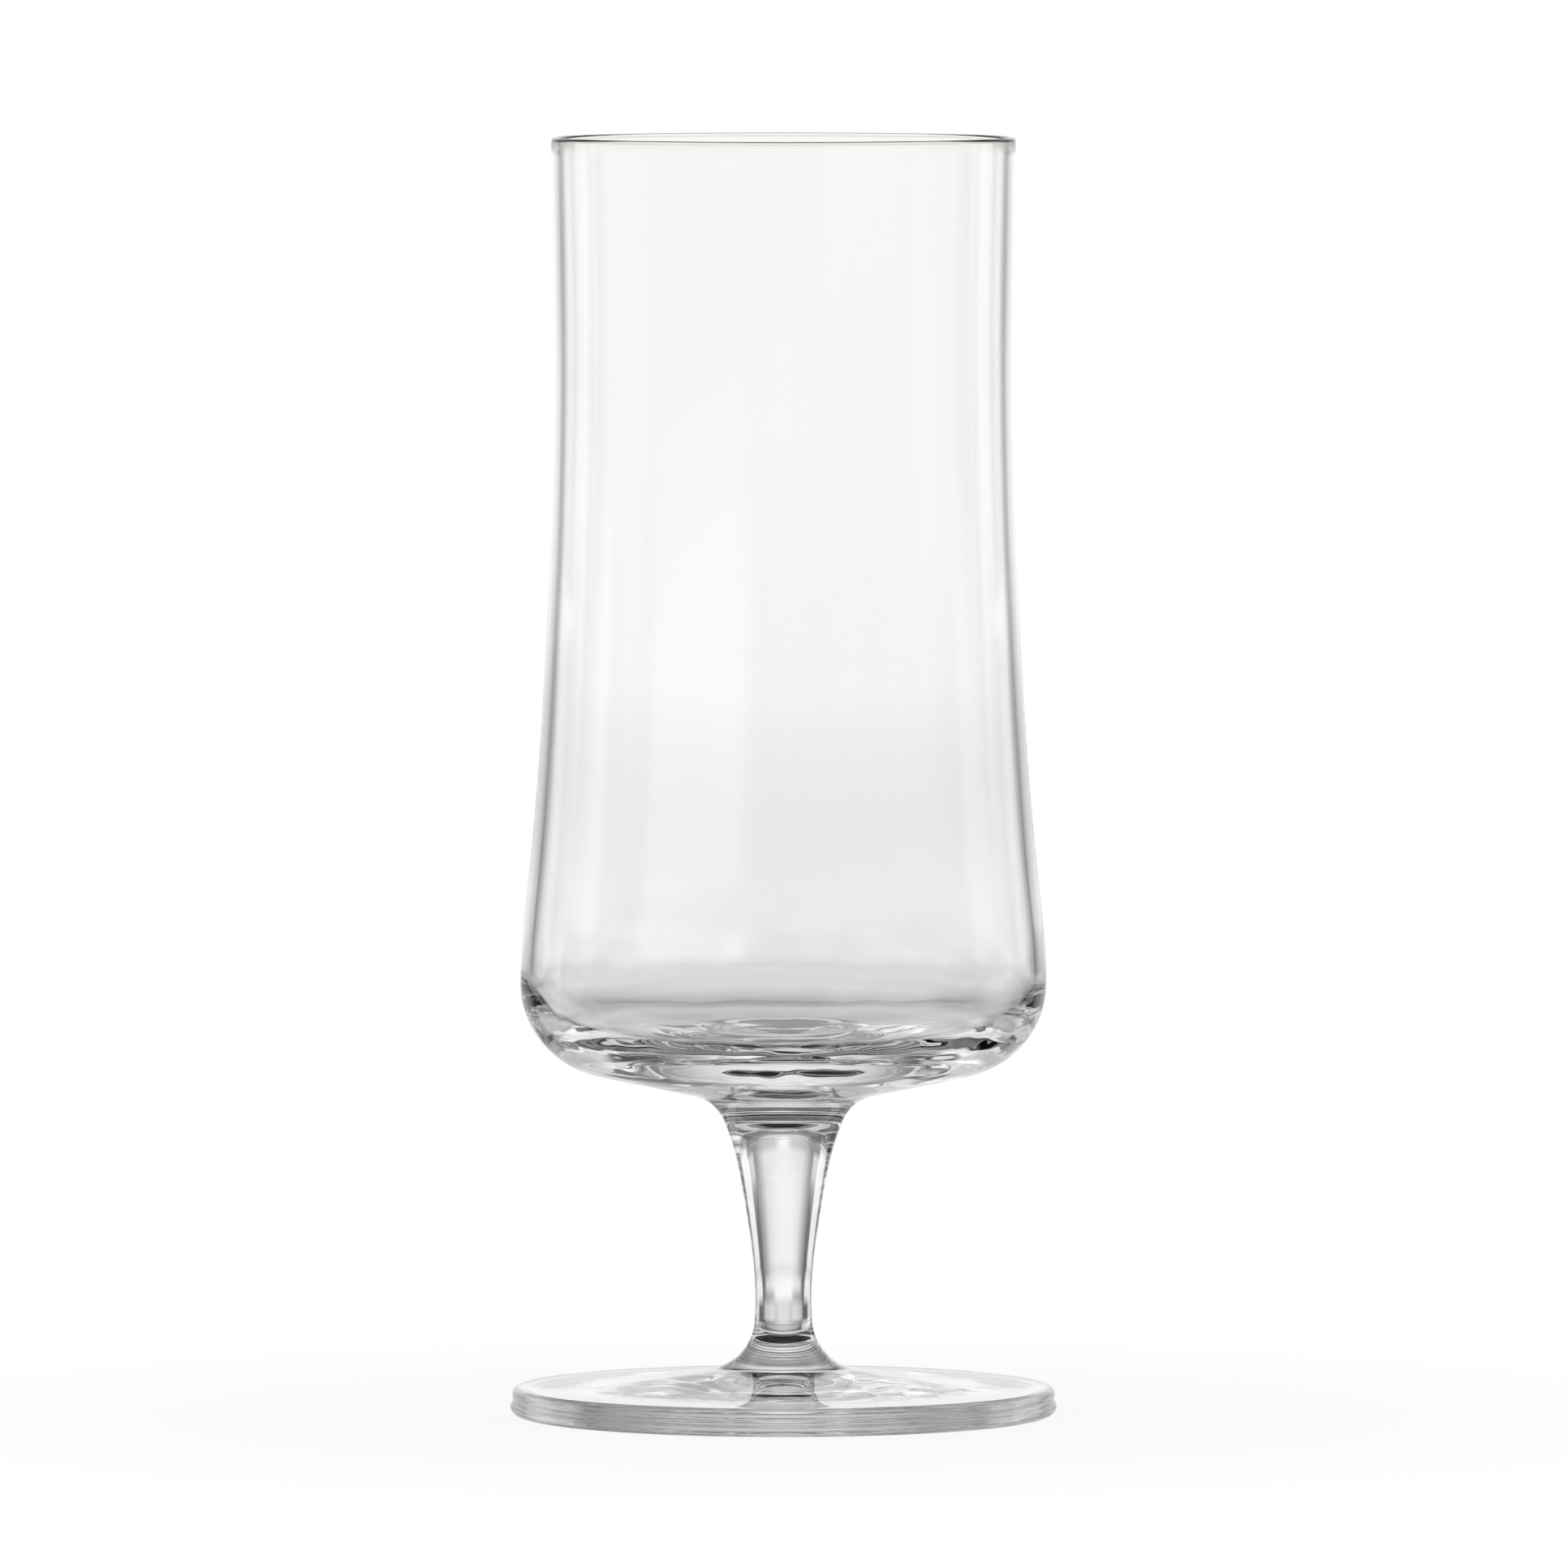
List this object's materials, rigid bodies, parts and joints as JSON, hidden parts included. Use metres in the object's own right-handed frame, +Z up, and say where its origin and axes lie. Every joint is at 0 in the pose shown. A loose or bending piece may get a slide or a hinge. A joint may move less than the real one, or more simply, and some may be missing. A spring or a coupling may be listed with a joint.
{
  "type": "pilsner glass",
  "caption": "Clear footed pilsner glass: tall waisted bowl widening to a rounded heavy base, short tapered solid stem and round pressed foot, for serving beer.",
  "frame": {"origin": "on the glass's axis, in the plane of the ring that the foot stands on", "axes": "+Z up along the axis of the bowl, stem and foot; the glass is round, so X and Y are alike"},
  "size_m": [0.0762, 0.0762, 0.178],
  "materials": {
    "bowl_glass": "clear blown glass, fire-polished rim",
    "stem_glass": "clear drawn glass, smooth",
    "foot_glass": "clear pressed glass, beaded edge"
  },
  "bodies": {
    "root": {"bowl": "bowl_glass", "stem": "stem_glass", "foot": "foot_glass"}
  },
  "joints": []
}
